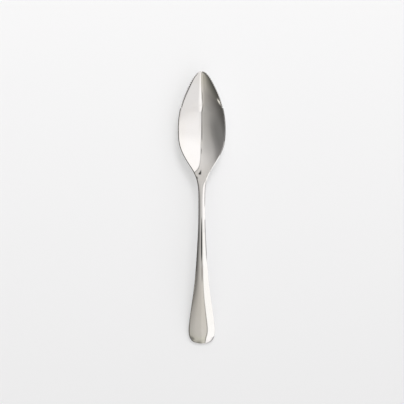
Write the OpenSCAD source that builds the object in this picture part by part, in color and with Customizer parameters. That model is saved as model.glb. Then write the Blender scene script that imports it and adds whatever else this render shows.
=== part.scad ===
// Grapefruit spoon: a pointed bowl with a crease along its middle and toothed front edges, a
// slim arched neck and a domed handle with a flat back. The real spoon is one piece of steel,
// and the three sub-parts are stretches of it that meet face to face. Near the tip the crease
// lies a little to the right of the middle. The spoon lies bowl up on its keel and on the end of
// its handle, with the tip towards +Y.

/* [Overall] */
// Length from the tip of the bowl to the end of the handle
overall_length = 165; // [150:1:180]
// Gap under the neck at its highest
neck_clearance = 11; // [8:0.5:14]

/* [Bowl] */
// Length from the tip to the heel, where the crease runs out
bowl_length = 64; // [58:0.5:70]
// Widest span of the bowl, over its rims
bowl_width = 28.9; // [25:0.1:32]
// Depth inside, from the rim to the crease
bowl_depth = 6.8; // [5.5:0.1:8]
// Thickness of the metal under the crease
bowl_thickness = 1.2; // [1:0.05:1.5]
// Thickness of the rim
rim_thickness = 1; // [0.8:0.05:1.2]
// Rounding of the crease inside the bowl
crease_round = 0.45; // [0.3:0.05:0.8]
// Rounding of the keel under the bowl
keel_round = 4; // [3:0.25:5]
// Drift of the crease to the right of the middle, where it is farthest off
crease_drift = 0.7; // [0:0.1:1]
// Distance from the tip at which the crease bends back to the middle
crease_bend_start = 21; // [16:0.5:24]
// Length in which the crease bends back
crease_bend_length = 3.5; // [2:0.5:6]

/* [Teeth] */
// Straight distance from the tip to the first tooth
tooth_start = 3.5; // [3:0.25:6]
// Straight distance from the tip to the last tooth, at most
tooth_end = 26; // [18:0.5:30]
// Spacing of the teeth along the edge
tooth_pitch = 1.25; // [1:0.05:2]
// Depth of the gaps between the teeth
tooth_depth = 0.35; // [0.2:0.05:0.5]
// Width of the band along the edge in which the gaps fade out
tooth_band = 1.2; // [0.8:0.1:1.6]
// Rise of the toothed lip above the bowl's wall
tooth_lip = 0.12; // [0:0.02:0.2]

/* [Neck] */
// Width of the neck at its narrowest
neck_width = 4.2; // [3.6:0.1:5]
// Thickness of the neck along its middle
neck_thickness = 3.4; // [3:0.1:4]
// Thickness of the neck's rounded sides
neck_side = 1.5; // [1.2:0.1:1.8]
// Rise of the neck's underside from its middle to its sides
neck_belly = 1.1; // [0.7:0.1:1.3]

/* [Handle] */
// Widest span of the handle, near its end
handle_width = 15.8; // [13:0.1:18]
// Thickness of the handle along its middle
handle_thickness = 2.5; // [2:0.1:3]
// Thickness of the handle's edge
handle_edge = 1.1; // [0.9:0.05:1.4]
// Reach of the rounded end, from the centre that the dome turns about
handle_end_reach = 5.3; // [4:0.1:6]

/* [Hidden] */

handle_length = overall_length - bowl_length;
// Height of the rim's underside above the lowest point of the keel
rim_height = bowl_depth + bowl_thickness - rim_thickness;
// Reach of the small round at the tip
tip_reach = 0.9;
// Share of the handle's length in which its straight back would fall the whole clearance
back_share = 0.463;
back_slope = neck_clearance / (back_share * handle_length);
// Width of a rounded edge as a share of the edge's thickness
edge_width_share = 0.6;
// Distance from the tip at which the straight back comes down to the table
back_foot = overall_length - edge_width_share * handle_edge;

// The spoon is one smooth loft over rows of control values. Each row holds, at one place along
// the spoon: the edge's distance from the tip, the half width, the middle's distance from the
// tip, the height of the underside's middle, the thickness there, the rise of the underside
// from its middle to its edge, the thickness of the edge, how creased the section is from 0 to
// 1, and the rounding of the crease.

// Bowl, as shares of: its length, its half width, the rim's height, its thickness, the rim's
// height at the edge, a full crease, the crease's rounding
bowl_shares = [
    [0.025, 0.270, 0.88, 0.85, 1.07, 1.0, 3.0],
    [0.117, 0.512, 0.53, 0.92, 1.04, 1.0, 3.0],
    [0.266, 0.824, 0.16, 1.00, 1.01, 1.0, 1.8],
    [0.430, 0.990, 0.00, 1.00, 1.00, 1.0, 0.8],
    [0.570, 1.008, -0.02, 1.00, 1.00, 1.0, 1.2],
    [0.688, 0.977, 0.07, 1.04, 1.00, 1.0, 2.0],
    [0.789, 0.808, 0.28, 1.15, 1.01, 1.0, 2.6],
    [0.890, 0.526, 0.65, 1.50, 1.02, 0.9, 3.5]
];
// Neck, as shares of: the handle's length beyond the bowl, its half width, the clearance, its
// thickness, its belly, its side, a full crease
neck_shares = [
    [-0.010, 1.76, 0.535, 0.76, 1.10, 0.80, 0.5],
    [0.060, 1.00, 0.590, 0.90, 0.90, 0.90, 0.0],
    [0.149, 1.00, 0.760, 1.00, 1.00, 0.85, 0.0],
    [0.257, 1.00, 0.950, 1.00, 0.90, 1.00, 0.0],
    [0.386, 1.26, 1.030, 0.94, 0.64, 0.93, 0.0],
    [0.525, 1.66, 0.950, 0.88, 0.32, 0.87, 0.0]
];
// Handle, as shares of: its length beyond the bowl, its half width, its thickness, and the
// end's reach that the middle is drawn back by
handle_shares = [
    [0.663, 0.589, 1.10, 0.00],
    [0.782, 0.829, 1.04, 0.00],
    [0.871, 0.975, 1.00, 0.08],
    [0.941, 1.060, 0.98, 0.47],
    [0.993, 0.770, 0.98, 1.00]
];
// The tip's underside and edge as shares of the rim's height
tip_under_share = 0.88;
tip_edge_share = 1.08;
// Straight part and power of the curved part of the bowl's walls
wall_straight_share = 0.62;
wall_power = 2.4;

// Points of a half section from the middle to the rounded edge, as shares of that span
inner_shares = [0, 0.03, 0.09, 0.22, 0.45, 0.72, 1];
// Points over the edge, outwards and down, as shares of the edge's width
edge_shares = [[0.35, 0.21], [0.7, 0.47], [0.95, 0.71]];
// Least height of the edge's upright side, as a share of the metal's thickness there
edge_side_share = 0.06;
half_count = len(inner_shares) + len(edge_shares);
loop_count = 4 * half_count;
// Steps per control row away from the teeth, and steps in the tip
loft_steps = 3;
tip_steps = 4;
search_steps = 24;

function bowl_row(r) = let (along = r[0] * bowl_length, under = r[2] * rim_height) [
    along, r[1] * bowl_width / 2, along, under, r[3] * bowl_thickness,
    r[4] * rim_height - under, rim_thickness, r[5], r[6] * crease_round
];
function neck_row(r) = let (along = bowl_length + r[0] * handle_length) [
    along, r[1] * neck_width / 2, along, r[2] * neck_clearance, r[3] * neck_thickness,
    r[4] * neck_belly, r[5] * neck_side, r[6], crease_round
];
function handle_row(r) = let (
    along = bowl_length + r[0] * handle_length,
    middle = along - r[3] * handle_end_reach
) [
    along, r[1] * handle_width / 2, middle, back_slope * (back_foot - middle),
    r[2] * handle_thickness, 0, handle_edge, 0, crease_round
];

bowl_rows = [for (r = bowl_shares) bowl_row(r)];
neck_rows = [for (r = neck_shares) neck_row(r)];
handle_rows = [for (r = handle_shares) handle_row(r)];

// The first and last rows lie on the middle line, where the outline turns back on itself
function turned_row(next, edge, middle, under, rise) = [
    (3 * edge - next[0]) / 2, 0, (3 * middle - next[2]) / 2, under, next[4], rise, next[6],
    next[7], next[8]
];
tip_row = turned_row(
    bowl_rows[0], 0, tip_reach, tip_under_share * rim_height,
    (tip_edge_share - tip_under_share) * rim_height
);
last_row = handle_rows[len(handle_rows) - 1];
end_middle = overall_length - handle_end_reach;
end_row = turned_row(
    last_row, overall_length, end_middle,
    back_slope * (back_foot - (3 * end_middle - last_row[2]) / 2), 0
);
rows = concat([tip_row], bowl_rows, neck_rows, handle_rows, [end_row]);
row_last = len(rows) - 1;

// Places along the loft, counted in rows, where the bowl ends and the handle begins
heel_at = len(bowl_rows) + 2;
handle_at = len(bowl_rows) + len(neck_rows);

// Beyond each end the rows run back along the other side of the spoon
function other_side(row) = [for (i = [0:len(row) - 1]) i == 1 ? -row[i] : row[i]];
function control_row(i) =
    i < 0 ? other_side(rows[-i])
    : i > row_last ? other_side(rows[2 * row_last - i])
    : rows[i];

// Uniform cubic B-spline over the rows
function blended(i, u) = (
    pow(1 - u, 3) * control_row(i - 1)
    + (3 * pow(u, 3) - 6 * pow(u, 2) + 4) * control_row(i)
    + (3 * pow(u, 2) - 3 * pow(u, 3) + 3 * u + 1) * control_row(i + 1)
    + pow(u, 3) * control_row(i + 2)
) / 6;
function loft_row(t) = let (i = min(floor(t), row_last - 1)) blended(i, t - i);

// Share of the rise from the middle of the section to its edge, at a share of the half width
function creased(share, rounding) =
    wall_straight_share * (sqrt(pow(share, 2) + pow(rounding, 2)) - rounding)
        / (sqrt(1 + pow(rounding, 2)) - rounding)
    + (1 - wall_straight_share) * pow(share, wall_power);
function rise_share(share, rounding, crease) =
    crease * creased(share, rounding) + (1 - crease) * pow(share, 2);

// Distance from the middle of a section to its edge
function reach_of(row) = norm([row[0] - row[2], row[1]]);
// Share of the reach at which the rounded edge begins
function flat_share(row) = 1 - edge_width_share * row[6] / reach_of(row);
// 1 along the teeth and 0 beyond them
function toothed(row) = let (from_tip = norm([row[0], row[1]]))
    max(0, min(1, min(from_tip - tooth_start, tooth_end - from_tip) / tooth_pitch));
// How far the crease lies to the right of the middle
function drift(row) = crease_drift * max(0, min(1,
    row[2] / crease_bend_start,
    (crease_bend_start + crease_bend_length - row[2]) / crease_bend_length
));

// One point of a section: share of the way from the middle to the edge, depth below the surface
// or undef for the mid surface, face, 1 on top or -1 under, and side, 1 or -1
function section_point(row, share, depth, face, side, gap) = let (
    reach = reach_of(row),
    inner = min(share, flat_share(row)),
    cut = gap * max(0, 1 - (1 - share) * reach / tooth_band) / reach,
    lip = tooth_lip * toothed(row) * pow(max(0, 1 - (1 - inner) * reach / tooth_band), 2),
    along = row[2] + (row[0] - row[2]) * (share - cut),
    leaned = (1 - row[7]) * back_slope * (row[2] - along),
    top = row[3] + row[4] + (row[5] + row[6] - row[4])
        * rise_share(inner - cut, row[8] / reach, row[7]) + lip,
    under = row[3] + row[5] * rise_share(inner - cut, keel_round / reach, row[7]),
    half = (top - under) / 2,
    height = is_undef(depth) ? 0 : max(half - depth, edge_side_share * half)
) [
    side * row[1] * (share - cut) + drift(row) * pow(1 - share, 2),
    overall_length / 2 - along,
    (top + under) / 2 + face * height + leaned
];

// Share of the way to the edge and depth of each point of a half section
function half_section(row) = let (flat = flat_share(row)) concat(
    [for (share = inner_shares) [share * flat, 0]],
    [for (e = edge_shares) [flat + (1 - flat) * e[0], edge_width_share * row[6] * e[1]]],
    [[1, undef]]
);

// Closed loop of a section: from the right edge over the top, and back under
function section(t, gap) = let (
    row = loft_row(t),
    half = half_section(row),
    last = half_count
) concat(
    [for (j = [last:-1:0]) section_point(row, half[j][0], half[j][1], 1, 1, gap)],
    [for (j = [1:last]) section_point(row, half[j][0], half[j][1], 1, -1, gap)],
    [for (j = [last - 1:-1:0]) section_point(row, half[j][0], half[j][1], -1, -1, gap)],
    [for (j = [1:last - 1]) section_point(row, half[j][0], half[j][1], -1, 1, gap)]
);

// Place along the loft whose edge is a straight distance from the tip
function place_at(distance, low, high, steps) = let (
    middle = (low + high) / 2,
    row = loft_row(middle)
) steps == 0 ? middle
    : norm([row[0], row[1]]) < distance ? place_at(distance, middle, high, steps - 1)
    : place_at(distance, low, middle, steps - 1);

// Places of the sections, each with the depth of the gap between teeth there
tooth_count = floor((tooth_end - tooth_start) / tooth_pitch);
tooth_places = [
    for (k = [0:2 * tooth_count]) [
        place_at(tooth_start + k * tooth_pitch / 2, 0, heel_at, search_steps),
        k % 2 * tooth_depth
    ]
];
teeth_from = tooth_places[0][0];
teeth_to = tooth_places[2 * tooth_count][0];
tip_places = [for (k = [0:tip_steps - 1]) [teeth_from * k / tip_steps, 0]];
rest_steps = ceil((heel_at - teeth_to) * loft_steps);
rest_places = [
    for (k = [1:rest_steps]) [teeth_to + (heel_at - teeth_to) * k / rest_steps, 0]
];
bowl_places = concat(tip_places, tooth_places, rest_places);
neck_places = [
    for (k = [0:(handle_at - heel_at) * loft_steps]) [heel_at + k / loft_steps, 0]
];
handle_places = [
    for (k = [0:(row_last - handle_at) * loft_steps]) [handle_at + k / loft_steps, 0]
];

// The lowest point of the sections rests on the table
function lowest(places) = min([for (p = places) for (q = section(p[0], p[1])) q[2]]);
table_height = min(lowest(bowl_places), lowest(handle_places));

// Where a section has no width, its two sides share their points
function point_index(i, k, pinched) = i * loop_count + (
    !pinched ? k % loop_count
    : k <= 2 * half_count ? min(k, 2 * half_count - k)
    : max(k % loop_count, (6 * half_count - k) % loop_count)
);
function quad(a, b, c, d) = [[a, c, b], [a, d, c]];
// Flat end made of strips between the top and the underside
function cap(i) = let (base = i * loop_count, last = 2 * half_count) [
    for (k = [0:last - 1]) for (f = quad(
        base + k, base + k + 1, base + loop_count - k - 1, base + (loop_count - k) % loop_count
    )) if (f[0] != f[1] && f[1] != f[2] && f[2] != f[0]) f
];
function reversed(faces) = [for (f = faces) [f[2], f[1], f[0]]];

// Solid between the first and the last of a list of places
module stretch(places, pinched_first = false, pinched_last = false) {
    last = len(places) - 1;
    points = [for (p = places) each section(p[0], p[1])];
    sides = [
        for (i = [0:last - 1]) for (k = [0:loop_count - 1]) each quad(
            point_index(i, k, pinched_first && i == 0),
            point_index(i, k + 1, pinched_first && i == 0),
            point_index(i + 1, k + 1, pinched_last && i + 1 == last),
            point_index(i + 1, k, pinched_last && i + 1 == last)
        )
    ];
    first_cap = pinched_first ? [] : reversed(cap(0));
    last_cap = pinched_last ? [] : cap(last);
    translate([0, 0, -table_height])
        polyhedron(points, concat(sides, first_cap, last_cap), convexity = 8);
}

module bowl() {
    color("gainsboro") stretch(bowl_places, pinched_first = true);
}

module neck() {
    color("silver") stretch(neck_places);
}

module handle() {
    color("lightgray") stretch(handle_places, pinched_last = true);
}

bowl();
neck();
handle();
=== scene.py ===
"""Grapefruit spoon of polished steel on a pale table, seen from straight above."""

import math

import bpy
import numpy as np
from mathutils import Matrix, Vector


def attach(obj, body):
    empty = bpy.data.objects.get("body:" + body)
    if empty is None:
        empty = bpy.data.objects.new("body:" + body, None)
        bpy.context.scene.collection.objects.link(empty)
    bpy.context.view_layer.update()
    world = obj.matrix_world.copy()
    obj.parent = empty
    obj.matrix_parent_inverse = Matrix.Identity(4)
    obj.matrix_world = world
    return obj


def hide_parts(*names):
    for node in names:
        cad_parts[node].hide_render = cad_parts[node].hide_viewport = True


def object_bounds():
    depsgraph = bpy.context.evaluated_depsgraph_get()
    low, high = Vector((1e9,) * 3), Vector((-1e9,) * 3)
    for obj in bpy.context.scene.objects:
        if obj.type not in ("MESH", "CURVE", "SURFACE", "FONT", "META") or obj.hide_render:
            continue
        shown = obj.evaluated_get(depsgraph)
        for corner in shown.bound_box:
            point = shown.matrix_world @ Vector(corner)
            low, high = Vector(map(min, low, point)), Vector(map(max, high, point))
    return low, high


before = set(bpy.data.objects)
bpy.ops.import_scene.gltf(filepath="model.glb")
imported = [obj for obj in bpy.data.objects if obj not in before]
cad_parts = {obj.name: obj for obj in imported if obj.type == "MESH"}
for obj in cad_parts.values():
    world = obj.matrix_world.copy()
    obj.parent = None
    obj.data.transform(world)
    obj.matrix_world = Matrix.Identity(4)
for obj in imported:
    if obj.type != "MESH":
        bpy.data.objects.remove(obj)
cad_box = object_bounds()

MM = 0.001

# Sizes of the spoon in millimetres, and shares. The names in small letters stand for the same
# things in the source of the solids.
overall_length = (cad_box[1].y - cad_box[0].y) / MM
neck_clearance = 11
bowl_length = 64
bowl_width = 28.9
bowl_depth = 6.8
bowl_thickness = 1.2
rim_thickness = 1
crease_round = 0.45
keel_round = 4
crease_drift = 0.7
crease_bend_start = 21
crease_bend_length = 3.5
tooth_start = 3.5
tooth_end = 26
tooth_pitch = 1.25
tooth_depth = 0.35
tooth_band = 1.2
tooth_lip = 0.12
neck_width = 4.2
neck_thickness = 3.4
neck_side = 1.5
neck_belly = 1.1
handle_width = 15.8
handle_thickness = 2.5
handle_edge = 1.1
handle_end_reach = 5.3

handle_length = overall_length - bowl_length
rim_height = bowl_depth + bowl_thickness - rim_thickness
tip_reach = 0.9
back_share = 0.463
back_slope = neck_clearance / (back_share * handle_length)
edge_width_share = 0.6
back_foot = overall_length - edge_width_share * handle_edge

# A control row has 9 columns: how far along the edge is, half the width, how far along the
# middle is, the underside's height in the middle, the thickness there, the edge's rise over
# the middle, the edge's thickness, how fully the section is creased, the crease's rounding.
# These are the numbers of the columns that are asked for by name.
COLUMN_COUNT = 9
EDGE, HALF, MIDDLE, THICK, SIDE = 0, 1, 2, 4, 6

# Bowl, as shares of: its length, its half width, the rim's height, its thickness, the rim's
# height at the edge, a full crease, the crease's rounding
bowl_shares = [
    [0.025, 0.270, 0.88, 0.85, 1.07, 1.0, 3.0],
    [0.117, 0.512, 0.53, 0.92, 1.04, 1.0, 3.0],
    [0.266, 0.824, 0.16, 1.00, 1.01, 1.0, 1.8],
    [0.430, 0.990, 0.00, 1.00, 1.00, 1.0, 0.8],
    [0.570, 1.008, -0.02, 1.00, 1.00, 1.0, 1.2],
    [0.688, 0.977, 0.07, 1.04, 1.00, 1.0, 2.0],
    [0.789, 0.808, 0.28, 1.15, 1.01, 1.0, 2.6],
    [0.890, 0.526, 0.65, 1.50, 1.02, 0.9, 3.5],
]
# Neck, as shares of: the handle's length beyond the bowl, its half width, the clearance, its
# thickness, its belly, its side, a full crease
neck_shares = [
    [-0.010, 1.76, 0.535, 0.76, 1.10, 0.80, 0.5],
    [0.060, 1.00, 0.590, 0.90, 0.90, 0.90, 0.0],
    [0.149, 1.00, 0.760, 1.00, 1.00, 0.85, 0.0],
    [0.257, 1.00, 0.950, 1.00, 0.90, 1.00, 0.0],
    [0.386, 1.26, 1.030, 0.94, 0.64, 0.93, 0.0],
    [0.525, 1.66, 0.950, 0.88, 0.32, 0.87, 0.0],
]
# Handle, as shares of: its length beyond the bowl, its half width, its thickness, and the
# end's reach that the middle is drawn back by
handle_shares = [
    [0.663, 0.589, 1.10, 0.00],
    [0.782, 0.829, 1.04, 0.00],
    [0.871, 0.975, 1.00, 0.08],
    [0.941, 1.060, 0.98, 0.47],
    [0.993, 0.770, 0.98, 1.00],
]
tip_under_share = 0.88
tip_edge_share = 1.08
wall_straight_share = 0.62
wall_power = 2.4

# Steps of the mesh: across from the crease to the band along the edge, across the band, along
# the tip before the teeth, along a tooth, and along a control row elsewhere
CREASE_STEPS = 30
BAND_STEPS = 8
TIP_STEPS = 23
TOOTH_STEPS = 10
ROW_STEPS = 20
# How strongly the steps gather at the crease, and the least share of the way at which the
# band begins
CREASE_GATHER = 1.8
BAND_FROM = 0.4
# Edge's profile outwards and down, as shares of its width. It ends at the mid surface.
EDGE_PROFILE = ((0.08, 0.04), (0.2, 0.11), (0.35, 0.215), (0.5, 0.325), (0.65, 0.435),
                (0.8, 0.555), (0.92, 0.665), (1.0, 0.78), (1.0, 100))
# Steps of the search for the places at which the teeth are
SEARCH_STEPS = 20000


def control_rows():
    """The loft's control rows, with one more at each end that mirrors its neighbour."""
    rows = []
    for along, half, under, thick, edge, crease, rounding in bowl_shares:
        along, under = along * bowl_length, under * rim_height
        rows.append([along, half * bowl_width / 2, along, under, thick * bowl_thickness,
                     edge * rim_height - under, rim_thickness, crease,
                     rounding * crease_round])
    for along, half, under, thick, belly, side, crease in neck_shares:
        along = bowl_length + along * handle_length
        rows.append([along, half * neck_width / 2, along, under * neck_clearance,
                     thick * neck_thickness, belly * neck_belly, side * neck_side, crease,
                     crease_round])
    for along, half, thick, drawn in handle_shares:
        along = bowl_length + along * handle_length
        middle = along - drawn * handle_end_reach
        rows.append([along, half * handle_width / 2, middle,
                     back_slope * (back_foot - middle), thick * handle_thickness, 0,
                     handle_edge, 0, crease_round])

    def turned(near, edge, middle, under, rise):
        """Row without a width at which the loft turns round and reaches edge and middle."""
        return [(3 * edge - near[EDGE]) / 2, 0, (3 * middle - near[MIDDLE]) / 2, under,
                near[THICK], rise] + near[SIDE:]

    tip_under = tip_under_share * rim_height
    tip = turned(rows[0], 0, tip_reach, tip_under, tip_edge_share * rim_height - tip_under)
    end_middle = overall_length - handle_end_reach
    end_under = back_slope * (back_foot - (3 * end_middle - rows[-1][MIDDLE]) / 2)
    end = turned(rows[-1], overall_length, end_middle, end_under, 0)
    rows = np.array([tip] + rows + [end], float)
    other_side = np.ones(COLUMN_COUNT)
    other_side[HALF] = -1
    return np.vstack([rows[1] * other_side, rows, rows[-2] * other_side])


controls = control_rows()
# Places along the loft are counted in control rows from the tip. These are the spoon's end and
# the ends of the bowl and of the neck.
row_last = len(controls) - 3
heel_at = len(bowl_shares) + 2
handle_at = len(bowl_shares) + len(neck_shares)


def loft_rows(places):
    """Uniform cubic B-spline over the control rows, one row for each place."""
    at = np.minimum(np.floor(places).astype(int), row_last - 1)
    past = (places - at)[:, None]
    return (
        (1 - past) ** 3 * controls[at]
        + (3 * past**3 - 6 * past**2 + 4) * controls[at + 1]
        + (-3 * past**3 + 3 * past**2 + 3 * past + 1) * controls[at + 2]
        + past**3 * controls[at + 3]
    ) / 6


def creased(share, rounding):
    """Share of the rise from the middle of a creased section to its edge."""
    straight = (np.sqrt(share**2 + rounding**2) - rounding) / (
        np.sqrt(1 + rounding**2) - rounding)
    return wall_straight_share * straight + (1 - wall_straight_share) * share**wall_power


def half_reach(rows):
    """Distance from the middle of each section to its edge."""
    return np.hypot(rows[:, EDGE] - rows[:, MIDDLE], rows[:, HALF])[:, None]


def edge_width(rows):
    """Width of each section's rounded edge."""
    return edge_width_share * rows[:, SIDE][:, None]


def flat_share(rows):
    """Share of the way to the edge at which the sections' rounded edges begin."""
    return 1 - edge_width(rows) / half_reach(rows)


def tip_distance(rows):
    """Straight distance from the spoon's tip to the edge of each section."""
    return np.hypot(rows[:, EDGE], rows[:, HALF])


def toothed_share(rows):
    """1 along the teeth and 0 beyond them."""
    from_tip = tip_distance(rows)[:, None]
    return np.clip(np.minimum(from_tip - tooth_start, tooth_end - from_tip) / tooth_pitch, 0, 1)


def band_share(share, reach):
    """1 at the edge and 0 from the inner side of the band that the teeth are ground in."""
    return np.maximum(0, 1 - (1 - share) * reach / tooth_band)


def section_points(rows, share, drop, facing, gap):
    """Points of the sections' right halves: share of the way to the edge, drop below the
    top or above the underside, and facing, 1 for the top and -1 for the underside."""
    edge, half, middle, under, thick, rise, side, crease, rounding = rows.T[:, :, None]
    reach = half_reach(rows)
    flat = np.minimum(share, flat_share(rows))
    notch = gap[:, None] * band_share(share, reach) / reach
    moved = np.maximum(share - notch, 0)
    held = flat - notch
    along = middle + (edge - middle) * moved
    leaned = (1 - crease) * back_slope * (middle - along)

    def rise_share(rounded):
        """Share of the edge's rise that the points have."""
        return crease * creased(held, rounded / reach) + (1 - crease) * held**2

    top = under + thick + (rise + side - thick) * rise_share(rounding)
    low = under + rise * rise_share(keel_round)
    top = top + tooth_lip * toothed_share(rows) * band_share(flat, reach) ** 2
    height = (top + low) / 2 + facing * np.maximum((top - low) / 2 - drop, 0) + leaned
    return np.stack([half * moved, overall_length / 2 - along, height], axis=-1)


def half_sections(rows):
    """Share of the way to the edge and drop of each point of the half sections."""
    flat = flat_share(rows)
    band = np.maximum(BAND_FROM * flat, 1 - tooth_band / half_reach(rows))
    inner = np.linspace(0, 1, CREASE_STEPS + 1)[None, :-1] ** CREASE_GATHER * band
    outer = band + (flat - band) * np.linspace(0, 1, BAND_STEPS + 1)[None, :]
    edge = np.array(EDGE_PROFILE)
    share = np.hstack([inner, outer, flat + (1 - flat) * edge[:, 0]])
    drop = np.hstack([0 * inner, 0 * outer, edge[:, 1] * edge_width(rows)])
    return share, drop


def places_and_gaps():
    """Places along the loft, close together at the teeth, with the gap's depth at each."""
    tried = np.linspace(0, heel_at, SEARCH_STEPS + 1)
    tooth_count = math.floor((tooth_end - tooth_start) / tooth_pitch)
    distance = tooth_start + tooth_pitch * np.arange(tooth_count * TOOTH_STEPS + 1) / TOOTH_STEPS
    teeth = np.interp(distance, tip_distance(loft_rows(tried)), tried)
    phase = (distance - tooth_start) / tooth_pitch
    depth = tooth_depth * (1 - np.abs(2 * (phase % 1) - 1))
    tip = np.linspace(0, 1, TIP_STEPS + 1)[:-1] * teeth[0]
    rest_count = math.ceil((heel_at - teeth[-1]) * ROW_STEPS)
    rest = np.linspace(teeth[-1], heel_at, rest_count + 1)[1:]
    beyond = np.linspace(heel_at, row_last, (row_last - heel_at) * ROW_STEPS + 1)[1:]
    places = np.concatenate([tip, teeth, rest, beyond])
    gaps = np.concatenate([0 * tip, depth, 0 * rest, 0 * beyond])
    return places, gaps


# Bands along the edges in millimetres, worn and ground: the full part, and the fade after it
EDGE_WEAR = (0.35, 0.5)
GROUND = (tooth_band / 2, tooth_band / 2)


def edge_mask(from_edge, full, fade):
    """1 up to a distance from the edge, and 0 beyond the fade after it."""
    return np.clip(1 - (from_edge - full) / fade, 0, 1)


def spoon_grid():
    """Places of the sections, their points as closed loops from the right edge over the top,
    and the steel's masks at the points."""
    places, gaps = places_and_gaps()
    rows = loft_rows(places)
    share, drop = half_sections(rows)
    top = section_points(rows, share, drop, 1, gaps)
    low = section_points(rows, share, drop, -1, gaps)
    mirrored = np.array([-1, 1, 1])
    loops = np.concatenate([
        top[:, ::-1], top[:, 1:] * mirrored, low[:, -2::-1] * mirrored, low[:, 1:-1]
    ], axis=1)
    shares = np.concatenate([share[:, ::-1], share[:, 1:], share[:, -2::-1], share[:, 1:-1]],
                            axis=1)

    along = rows[:, MIDDLE]
    bend_end = crease_bend_start + crease_bend_length
    drift = crease_drift * np.clip(np.minimum(
        along / crease_bend_start, (bend_end - along) / crease_bend_length), 0, 1)
    loops[..., 0] += drift[:, None] * (1 - shares) ** 2

    # The finer mesh is fitted to the solids' box
    low_corner, high_corner = loops.min(axis=(0, 1)), loops.max(axis=(0, 1))
    box = (np.array(cad_box[1]) - np.array(cad_box[0])) / MM
    loops = (loops - low_corner) * box / (high_corner - low_corner)
    from_edge = (1 - shares) * half_reach(rows)
    masks = {
        "edge_wear": edge_mask(from_edge, *EDGE_WEAR),
        "ground": toothed_share(rows) * edge_mask(from_edge, *GROUND),
    }
    return places, loops * MM + np.array(cad_box[0]), masks


places, grid, masks = spoon_grid()
grid_points = grid.reshape(-1, 3)
LAST = len(grid) - 1
LOOP = grid.shape[1]
HALF_COUNT = LOOP // 4
# Stands for the length of a normal that is 0, at a point without faces
LEAST_NORMAL = 1e-12


def point_number(row, column, pinched):
    """Number of a grid point. The two sides of a pinched row share their points."""
    column = column % LOOP
    if pinched and column <= 2 * HALF_COUNT:
        column = min(column, 2 * HALF_COUNT - column)
    elif pinched:
        column = max(column, (6 * HALF_COUNT - column) % LOOP)
    return row * LOOP + column


def grid_faces(first, last):
    """Quads between two rows of the grid, as numbers of grid points."""
    faces = []
    for row in range(first, last):
        pinched, next_pinched = row == 0, row + 1 == LAST
        for column in range(LOOP):
            faces.append((
                point_number(row, column, pinched), point_number(row, column + 1, pinched),
                point_number(row + 1, column + 1, next_pinched),
                point_number(row + 1, column, next_pinched)))
    return faces


def smooth_normals():
    """Normal of each grid point, averaged over the whole spoon's faces."""
    corners = np.array(grid_faces(0, LAST)).T
    points = grid_points[corners]
    across = np.cross(points[2] - points[0], points[3] - points[1])
    normals = np.zeros_like(grid_points)
    for numbers in corners:
        np.add.at(normals, numbers, across)
    lengths = np.linalg.norm(normals, axis=1, keepdims=True)
    return normals / np.maximum(lengths, LEAST_NORMAL)


normals = smooth_normals()


def cap_faces(row):
    """Strips between the top and the underside that close a stretch at a row."""
    faces = []
    for column in range(2 * HALF_COUNT):
        face = [row * LOOP + column, row * LOOP + column + 1, row * LOOP + LOOP - column - 1,
                row * LOOP + (LOOP - column) % LOOP]
        faces.append(tuple(dict.fromkeys(face)))
    return faces


def add_object(name, data):
    """Adds an object to the scene and returns it."""
    added = bpy.data.objects.new(name, data)
    bpy.context.scene.collection.objects.link(added)
    return added


def stretch(name, node, first, last, material):
    """Closed smooth mesh of the spoon between two rows of the grid."""
    faces = grid_faces(first, last)
    corner_normals = [tuple(normals[point]) for face in faces for point in face]
    for row, facing in ((first, 1), (last, -1)):
        if row in (0, LAST):
            continue
        caps = [face[::-facing] for face in cap_faces(row)]
        faces += caps
        corner_normals += [(0.0, float(facing), 0.0)] * sum(len(face) for face in caps)
    used = sorted({point for face in faces for point in face})
    number = {point: new for new, point in enumerate(used)}
    mesh = bpy.data.meshes.new(name)
    mesh.from_pydata([tuple(grid_points[point]) for point in used], [],
                     [[number[point] for point in face] for face in faces])
    mesh.validate()
    mesh.shade_smooth()
    mesh.normals_split_custom_set(corner_normals)
    mesh.materials.append(material)
    for mask, values in masks.items():
        layer = mesh.attributes.new(mask, "FLOAT", "POINT")
        layer.data.foreach_set("value", values.reshape(-1)[used].astype(np.float32))
    piece = add_object(name, mesh)
    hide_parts(node)
    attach(piece, "root")


def give(tree, socket, value):
    """Gives a socket a number or colour, or links an output to it."""
    if isinstance(value, tuple):
        socket.default_value = (*value, 1)
    elif isinstance(value, (int, float)):
        socket.default_value = value
    else:
        tree.links.new(value, socket)


def math_node(tree, operation, *values):
    """Adds a math node and returns its output."""
    node = tree.nodes.new("ShaderNodeMath")
    node.operation = operation
    for socket, value in zip(node.inputs, values):
        give(tree, socket, value)
    return node.outputs[0]


def product_node(tree, first, second):
    """Adds a product of two numbers and returns its output."""
    return math_node(tree, "MULTIPLY", first, second)


def range_node(tree, value, low, high, start=0, end=1, kind="LINEAR"):
    """Adds a change from start at low to end at high, and returns its output."""
    node = tree.nodes.new("ShaderNodeMapRange")
    node.interpolation_type = kind
    numbers = {"From Min": low, "From Max": high, "To Min": start, "To Max": end}
    for name, number in numbers.items():
        node.inputs[name].default_value = number
    tree.links.new(value, node.inputs["Value"])
    return node.outputs["Result"]


def step_node(tree, value, low, high, start=0, end=1):
    """Adds a smooth change from start at low to end at high, and returns its output."""
    return range_node(tree, value, low, high, start, end, "SMOOTHSTEP")


def mix_node(tree, factor, start, end):
    """Adds a mix of two brightnesses and returns its output."""
    node = tree.nodes.new("ShaderNodeMix")
    for name, value in (("Factor", factor), ("A", start), ("B", end)):
        give(tree, node.inputs[name], value)
    return node.outputs["Result"]


# Numbers of the mix node's sockets for a factor and two colours, and of the mixed colour's
COLOUR_INPUTS = (0, 6, 7)
COLOUR_OUTPUT = 2


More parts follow.
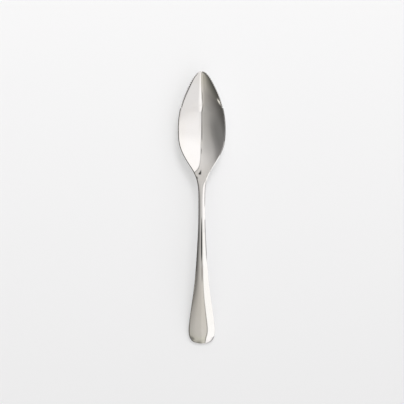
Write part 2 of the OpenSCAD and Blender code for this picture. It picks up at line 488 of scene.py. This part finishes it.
def colour_mix(tree, factor, start, end):
    """Adds a mix of two colours, each a colour or an output, and returns its output."""
    node = tree.nodes.new("ShaderNodeMix")
    node.data_type = "RGBA"
    for number, value in zip(COLOUR_INPUTS, (factor, start, end)):
        give(tree, node.inputs[number], value)
    return node.outputs[COLOUR_OUTPUT]


def place_parts(tree, kind):
    """Adds a place of a kind, split into its X, Y and Z, and returns these outputs."""
    place = tree.nodes.new("ShaderNodeTexCoord").outputs[kind]
    parts = tree.nodes.new("ShaderNodeSeparateXYZ")
    tree.links.new(place, parts.inputs["Vector"])
    return parts.outputs


def add_material(name):
    """Adds a material with the usual shader, and returns it with its tree and the shader."""
    material = bpy.data.materials.new(name)
    material.use_nodes = True
    return material, material.node_tree, material.node_tree.nodes["Principled BSDF"]


# Colours of the steel where it is freshly polished, where its polish is dull, and on its edges
POLISHED = (0.8, 0.785, 0.765)
DULLED = (0.785, 0.765, 0.735)
WORN = (0.82, 0.81, 0.795)
WORN_SHARE = 0.5
# Patterns in the steel: a feature's width in metres, the detail, the degrees that its length
# is turned away from the spoon's, and how many widths long it is
SMUDGES = (0.016, 4, 0, 1)
WAVES = (0.007, 1, 0, 1)
HAIRLINES = (0.00022, 2, 0, 45)
SCRATCHES = (0.00035, 1, 24, 30)
GRINDING = (0.00016, 2, 68, 20)
# Values of the patterns between which a scratch comes up, the polish turns dull, and the
# roughness goes from its least to its most
SCRATCH_RANGE = (0.69, 0.73)
DULL_RANGE = (0.42, 0.66)
ROUGH_RANGE = (0.35, 0.7, 0.03, 0.065)
# Roughness that the marks add
HAIRLINE_ROUGH = 0.03
SCRATCH_ROUGH = 0.05
WORN_ROUGH = 0.05
GRINDING_ROUGH = 0.08
# Depths of the steel's relief in metres
WAVE_DEPTH = 6e-6
HAIRLINE_DEPTH = 5e-7
SCRATCH_DEPTH = 6e-7
GRINDING_DEPTH = 1.2e-6


def noise_node(tree, place, width, detail, turn, length):
    """Adds one of the steel's patterns and returns its output."""
    turned = tree.nodes.new("ShaderNodeMapping")
    turned.vector_type = "TEXTURE"
    turned.inputs["Rotation"].default_value = (0, 0, math.radians(turn))
    turned.inputs["Scale"].default_value = (1, length, 1)
    tree.links.new(place, turned.inputs["Vector"])
    noise = tree.nodes.new("ShaderNodeTexNoise")
    noise.inputs["Scale"].default_value = 1 / width
    noise.inputs["Detail"].default_value = detail
    tree.links.new(turned.outputs["Vector"], noise.inputs["Vector"])
    return noise.outputs["Fac"]


def mask_node(tree, name):
    """Adds a mask that the mesh carries and returns its output."""
    node = tree.nodes.new("ShaderNodeAttribute")
    node.attribute_name = name
    return node.outputs["Fac"]


def bump_node(tree, height, depth, before):
    """Adds relief of a depth in metres to the relief before it, and returns its normal."""
    node = tree.nodes.new("ShaderNodeBump")
    node.inputs["Strength"].default_value = 1
    node.inputs["Distance"].default_value = depth
    tree.links.new(height, node.inputs["Height"])
    if before is not None:
        tree.links.new(before, node.inputs["Normal"])
    return node.outputs["Normal"]


def polished_steel():
    """Mirror-polished stainless steel: lengthwise hairlines, a few stray scratches, slightly
    uneven polish, worn edges and teeth left with their grinding marks."""
    material, tree, shader = add_material("polished_steel")
    shader.inputs["Metallic"].default_value = 1.0
    place = tree.nodes.new("ShaderNodeTexCoord").outputs["Object"]
    smudge, wave, hairline, scratch, grind = [
        noise_node(tree, place, *pattern)
        for pattern in (SMUDGES, WAVES, HAIRLINES, SCRATCHES, GRINDING)]
    scratch = step_node(tree, scratch, *SCRATCH_RANGE)
    worn = mask_node(tree, "edge_wear")
    ground = mask_node(tree, "ground")

    colour = colour_mix(tree, step_node(tree, smudge, *DULL_RANGE), POLISHED, DULLED)
    colour = colour_mix(tree, product_node(tree, worn, WORN_SHARE), colour, WORN)
    tree.links.new(colour, shader.inputs["Base Color"])

    rough = step_node(tree, smudge, *ROUGH_RANGE)
    for mark, added in ((hairline, HAIRLINE_ROUGH), (scratch, SCRATCH_ROUGH),
                        (worn, WORN_ROUGH), (ground, GRINDING_ROUGH)):
        rough = math_node(tree, "MULTIPLY_ADD", mark, added, rough)
    tree.links.new(rough, shader.inputs["Roughness"])

    normal = None
    for height, depth in ((wave, WAVE_DEPTH), (hairline, HAIRLINE_DEPTH),
                          (scratch, -SCRATCH_DEPTH),
                          (product_node(tree, grind, ground), GRINDING_DEPTH)):
        normal = bump_node(tree, height, depth, normal)
    tree.links.new(normal, shader.inputs["Normal"])
    return material


steel = polished_steel()
heel_row = int(np.argmin(np.abs(places - heel_at)))
handle_row = int(np.argmin(np.abs(places - handle_at)))
stretch("bowl_steel", "bowl", 0, heel_row, steel)
stretch("neck_steel", "neck", heel_row, handle_row, steel)
stretch("handle_steel", "handle", handle_row, LAST, steel)

# Camera: straight above, through a long lens
VIEW_WIDTH = 0.2446
VIEW_CENTRE = (0.00015, 0.0035)
CAMERA_HEIGHT = 1.6
camera = add_object("camera", bpy.data.cameras.new("camera"))
camera.location = (*VIEW_CENTRE, CAMERA_HEIGHT)
camera.data.lens = camera.data.sensor_width * CAMERA_HEIGHT / VIEW_WIDTH
bpy.context.scene.camera = camera

# How far the floor reaches each way, in metres
FLOOR_REACH = 12.0
# Metres towards the tip between which the floor's painted shade changes, and the two
# brightnesses: darker towards the handle's end
FLOOR_PAINTED_FALLOFF = (-0.13, 0.13, 0.93, 1.05)
# The floor as it is seen: a part that takes the light and the shadow, and a part that glows
FLOOR_SHADED = (0.555, 0.559, 0.567)
FLOOR_GLOW = (0.368, 0.368, 0.368)
# The floor as it lights the spoon
FLOOR_COLOUR = (0.865, 0.88, 0.905)
FLOOR_ROUGHNESS = 0.7


def floor():
    """Large pale table top with painted shade, a little darker towards the handle's end, as if
    lit from past the tip. Looked at or mirrored, it shows its own brightness with the spoon's
    shadow, and otherwise it is plain and matt."""
    mesh = bpy.data.meshes.new("floor")
    signs = ((-1, -1), (1, -1), (1, 1), (-1, 1))
    mesh.from_pydata([(x * FLOOR_REACH, y * FLOOR_REACH, 0) for x, y in signs],
                     [], [(0, 1, 2, 3)])
    material, tree, plain = add_material("floor")
    plain.inputs["Base Color"].default_value = (*FLOOR_COLOUR, 1)
    plain.inputs["Roughness"].default_value = FLOOR_ROUGHNESS

    link = tree.links.new
    # Painted shade: the floor's brightness falls off towards the handle's end
    fade = range_node(tree, place_parts(tree, "Object")["Y"], *FLOOR_PAINTED_FALLOFF)
    shaded = tree.nodes.new("ShaderNodeBsdfDiffuse")
    glow = tree.nodes.new("ShaderNodeEmission")
    for shader, colour in ((shaded, FLOOR_SHADED), (glow, FLOOR_GLOW)):
        faded = tree.nodes.new("ShaderNodeVectorMath")
        faded.operation = "SCALE"
        faded.inputs["Vector"].default_value = colour
        link(fade, faded.inputs["Scale"])
        link(faded.outputs["Vector"], shader.inputs["Color"])
    both = tree.nodes.new("ShaderNodeAddShader")
    link(shaded.outputs["BSDF"], both.inputs[0])
    link(glow.outputs["Emission"], both.inputs[1])

    path = tree.nodes.new("ShaderNodeLightPath")
    looked_at = 0
    for ray in ("Is Camera Ray", "Is Glossy Ray", "Is Transmission Ray"):
        looked_at = math_node(tree, "MAXIMUM", looked_at, path.outputs[ray])
    shown = tree.nodes.new("ShaderNodeMixShader")
    link(looked_at, shown.inputs["Fac"])
    link(plain.outputs["BSDF"], shown.inputs[1])
    link(both.outputs["Shader"], shown.inputs[2])
    link(shown.outputs["Shader"], tree.nodes["Material Output"].inputs["Surface"])
    mesh.materials.append(material)
    add_object("floor", mesh)


# The studio is drawn by angles in degrees. Side and ahead are measured from straight up, to
# the right and to the tip, and fore is measured to the tip from the upright plane across the
# spoon. Leaned is side for the ceiling over the tip, which shifts with ahead, and slant is
# side for the softbox, which lies a little askew. The leans are degrees for each degree ahead.
CEILING_LEAN = 0.3
SOFTBOX_LEAN = -0.03
# Least height that side and ahead are worked out with, for what lies below the floor too
HORIZON = 0.001

# Ceiling's brightness by side, seen past the tip and seen past the handle
TIP_CEILING = ((-80, 0.05), (-70, 0.12), (-62, 0.22), (-52, 0.22), (-48.5, 0.25), (-45, 0.30),
               (-42, 0.39), (-39.5, 0.46), (-36, 0.52), (-28, 0.61), (-20, 0.68), (0, 0.75))
HANDLE_CEILING = ((-80, 0.03), (-70, 0.09), (-62, 0.16), (-53, 0.27), (-46, 0.37),
                  (-40, 0.44), (-32, 0.52), (-20, 0.62), (-4, 0.66), (0, 0.75))
# Ceiling's tint by ahead, and the softbox's tint
TINTS = ((-45, (1, 0.98, 0.88)), (-27, (1, 0.962, 0.912)), (-8, (1, 0.98, 0.95)),
         (10, (1, 0.985, 0.97)), (45, (1, 0.98, 0.97)))
SOFTBOX_TINT = (1, 0.988, 0.995)
# The softbox's least brightness, and what its far part has more than that
SOFTBOX_LIGHT = 0.94
SOFTBOX_FAR_LIGHT = 0.18

# Zones of the studio. Each is a product of smooth changes: an angle, the degrees between which
# it changes, and where it isn't from 0 to 1, the two values.
ZONES = {
    # Where the ceiling is the one past the tip, and where that gets brighter
    "past_tip": (("ahead", -15, 5),),
    "ceiling_rise": (("ahead", 25, 50, 1, 1.12),),
    # Corner on the left past the handle, where the ceiling is brighter
    "low_left": (("ahead", -38, -26, 1, 0), ("side", -42, -35, 1, 0)),
    # Softbox to the right: where it is, its brightness, the stripe on it near the handle, its
    # brighter far part, its end, and the dark frame along its near side
    "softbox": (("slant", 19.5, 21),),
    "softbox_rise": (("ahead", -14, 24, SOFTBOX_LIGHT, 1.25),),
    "softbox_stripe": (("slant", 31, 39, 0.3, 0), ("ahead", -14, -10, 1, 0)),
    "softbox_far": (("slant", 31, 36), ("ahead", -20, 2)),
    "softbox_end": (("slant", 68, 76, 1, 0.3),),
    "softbox_frame": (("slant", 16.3, 17.7), ("slant", 19.3, 20.7, 1, 0)),
    # Low wall past the handle: how dark it gets, its lowest part, and the light on that
    "wall": (("fore", -78, -46, 0.45, 1),),
    "wall_foot": (("fore", -70, -54, 1, 0), ("side", -40, -30)),
    "wall_foot_light": (("side", -16, 12, 0.85, 1.6),),
    # Dark corner on the left past the tip, and the lamp low past the tip
    "dark_corner": (("ahead", 50, 58), ("side", -58, -50, 1, 0)),
    "tip_lamp": (("fore", 46, 62, 0, 1.6), ("side", -60, -40)),
}
# Light in a zone, as a share of what it is without it
LOW_LEFT_LIGHT = 1.25
SOFTBOX_FRAME_LIGHT = 0.5
DARK_CORNER_LIGHT = 0.1

# Things that the spoon mirrors as ovals: the centre, the radius and the softness, in degrees
# of side and ahead. The crew stands with the camera, and the boom holds a lamp.
OVALS = {
    "crew": ((-4.6, 0), (12, 15.5), 2),
    "boom": ((5.5, 32.5), (3.2, 6), 1.2),
    "stand": ((4, -20.5), (8, 5), 1.5),
    "screen": ((-34, -47), (6, 6), 4),
    "window": ((-70, -37), (2.5, 3.5), 1),
}
# Light in an oval, as a share of what it is without it, and the window's own brightness
CREW_LIGHT = 0.01
STAND_LIGHT = 0.5
SCREEN_LIGHT = 0.45
WINDOW_LIGHT = 1.0


def grey(stops):
    """Stops of brightness as stops of colour."""
    return [(at, (bright, bright, bright)) for at, bright in stops]


def tint_node(tree, value, stops):
    """Adds a run of straight changes through (value, colour) stops, and returns its output."""
    low, high = stops[0][0], stops[-1][0]
    ramp = tree.nodes.new("ShaderNodeValToRGB")
    elements = ramp.color_ramp.elements
    while len(elements) < len(stops):
        elements.new(0.5)
    for element, (at, colour) in zip(elements, stops):
        element.position = (at - low) / (high - low)
        element.color = (*colour, 1)
    tree.links.new(range_node(tree, value, low, high), ramp.inputs["Fac"])
    return ramp.outputs["Color"]


def studio_angles(tree):
    """Adds the angles that the studio is drawn by, and returns their outputs by name."""
    parts = place_parts(tree, "Generated")
    height = math_node(tree, "MAXIMUM", parts["Z"], HORIZON)
    angles = {}
    for name, part in (("side", "X"), ("ahead", "Y")):
        turn = math_node(tree, "ARCTAN2", parts[part], height)
        angles[name] = math_node(tree, "DEGREES", turn)
    angles["fore"] = math_node(tree, "DEGREES", math_node(tree, "ARCSINE", parts["Y"]))
    past_top = math_node(tree, "MAXIMUM", angles["ahead"], 0)
    angles["leaned"] = math_node(tree, "MULTIPLY_ADD", past_top, CEILING_LEAN, angles["side"])
    angles["slant"] = math_node(tree, "MULTIPLY_ADD", angles["ahead"], SOFTBOX_LEAN,
                                angles["side"])
    return angles


def zone_node(tree, angles, changes):
    """Adds a zone of the studio and returns its output."""
    zone = 1
    for name, *numbers in changes:
        zone = product_node(tree, zone, step_node(tree, angles[name], *numbers))
    return zone


def oval_node(tree, angles, centre, radius, soft):
    """Adds a factor that is 1 inside an oval and 0 outside it, and returns its output."""
    across = math_node(tree, "SUBTRACT", angles["side"], centre[0])
    along = math_node(tree, "SUBTRACT", angles["ahead"], centre[1])
    along = product_node(tree, along, radius[0] / radius[1])
    square = product_node(tree, along, along)
    reach = math_node(tree, "SQRT", math_node(tree, "MULTIPLY_ADD", across, across, square))
    return step_node(tree, reach, radius[0] - soft, radius[0] + soft, 1, 0)


def studio():
    """World of a small studio: a white ceiling that is darker to the left, a large softbox to
    the right that is brighter towards the tip, and the things around them."""
    world = bpy.data.worlds.new("studio")
    bpy.context.scene.world = world
    world.use_nodes = True
    tree = world.node_tree
    angles = studio_angles(tree)
    zones = {name: zone_node(tree, angles, changes) for name, changes in ZONES.items()}
    ovals = {name: oval_node(tree, angles, *oval) for name, oval in OVALS.items()}

    def changed(light, inside, level):
        """The light, which is level times itself where inside is 1."""
        return product_node(tree, light, mix_node(tree, inside, 1, level))

    def brightest(first, second):
        """The brighter of two lights."""
        return math_node(tree, "MAXIMUM", first, second)

    ceiling = mix_node(tree, zones["past_tip"],
                       tint_node(tree, angles["side"], grey(HANDLE_CEILING)),
                       tint_node(tree, angles["leaned"], grey(TIP_CEILING)))
    ceiling = product_node(tree, ceiling, zones["ceiling_rise"])
    ceiling = changed(ceiling, zones["low_left"], LOW_LEFT_LIGHT)

    stripe = math_node(tree, "ADD", zones["softbox_stripe"], SOFTBOX_LIGHT)
    far = math_node(tree, "MULTIPLY_ADD", zones["softbox_far"], SOFTBOX_FAR_LIGHT, SOFTBOX_LIGHT)
    softbox = brightest(brightest(zones["softbox_rise"], stripe), far)
    softbox = product_node(tree, softbox, zones["softbox_end"])

    light = mix_node(tree, zones["softbox"], ceiling, softbox)
    light = changed(light, zones["softbox_frame"], SOFTBOX_FRAME_LIGHT)
    light = product_node(tree, light, zones["wall"])
    light = changed(light, zones["wall_foot"], zones["wall_foot_light"])
    light = changed(light, zones["dark_corner"], DARK_CORNER_LIGHT)
    light = brightest(light, zones["tip_lamp"])
    light = changed(light, ovals["stand"], STAND_LIGHT)
    light = changed(light, ovals["screen"], SCREEN_LIGHT)
    light = mix_node(tree, ovals["window"], light, WINDOW_LIGHT)
    light = changed(light, ovals["crew"], CREW_LIGHT)
    light = changed(light, ovals["boom"], CREW_LIGHT)

    tint = colour_mix(tree, zones["softbox"], tint_node(tree, angles["ahead"], TINTS),
                      SOFTBOX_TINT)
    tree.links.new(tint, tree.nodes["Background"].inputs["Color"])
    tree.links.new(light, tree.nodes["Background"].inputs["Strength"])


# The lamp's strength, the degrees that it looks wide, and its turn in degrees
KEY_STRENGTH = 1.1
KEY_WIDTH = 22
KEY_TURN = (-44, 0, -14)


def key_light():
    """Weak soft lamp from past the tip and a little from the right, which gives the floor its
    shadows and isn't mirrored."""
    lamp = bpy.data.lights.new("key_light", "SUN")
    lamp.energy = KEY_STRENGTH
    lamp.angle = math.radians(KEY_WIDTH)
    light = add_object("key_light", lamp)
    light.rotation_euler = [math.radians(turn) for turn in KEY_TURN]
    light.visible_glossy = False


# Glowing cards that stand upright beside the spoon: the metres to the right, the corners in
# metres towards the tip and up, and the brightness of their glow. The white ones give the bright
# stripe down the
# heel, the neck and the handle, and the black one the dark line on the left edge near the tip.
WHITE_CARD = 1.24
BLACK_CARD = 0.03
CARDS = {
    "handle_card": (0.127, ((-0.028, 0.012), (-0.206, 0.36), (-0.334, 0.36), (-0.156, 0.012)),
                    WHITE_CARD),
    "neck_card": (0.05, ((-0.011, 0.034), (-0.009, 0.11), (-0.085, 0.11), (-0.056, 0.034)),
                  WHITE_CARD),
    "heel_card": (0.05, ((0.001, 0.008), (0.001, 0.034), (0.0135, 0.034), (0.0135, 0.008)),
                  WHITE_CARD),
    "edge_card": (0.05, ((0.036, 0.016), (0.036, 0.0272), (0.085, 0.0272), (0.085, 0.016)),
                  BLACK_CARD),
}


def card(name, aside, corners, brightness):
    """Glowing card beside the spoon, which only the polished metal sees and which lights nothing
    else.
    """
    mesh = bpy.data.meshes.new(name)
    mesh.from_pydata([(aside, along, up) for along, up in corners], [], [(0, 1, 2, 3)])
    material, tree, plain = add_material(name)
    tree.nodes.remove(plain)
    shine = tree.nodes.new("ShaderNodeEmission")
    shine.inputs["Strength"].default_value = brightness
    tree.links.new(shine.outputs["Emission"], tree.nodes["Material Output"].inputs["Surface"])
    mesh.materials.append(material)
    upright = add_object(name, mesh)
    upright.visible_camera = False
    upright.visible_diffuse = False
    upright.visible_shadow = False
    upright.visible_transmission = False


floor()
studio()
key_light()
for name, values in CARDS.items():
    card(name, *values)

bpy.context.scene.view_settings.view_transform = "Standard"
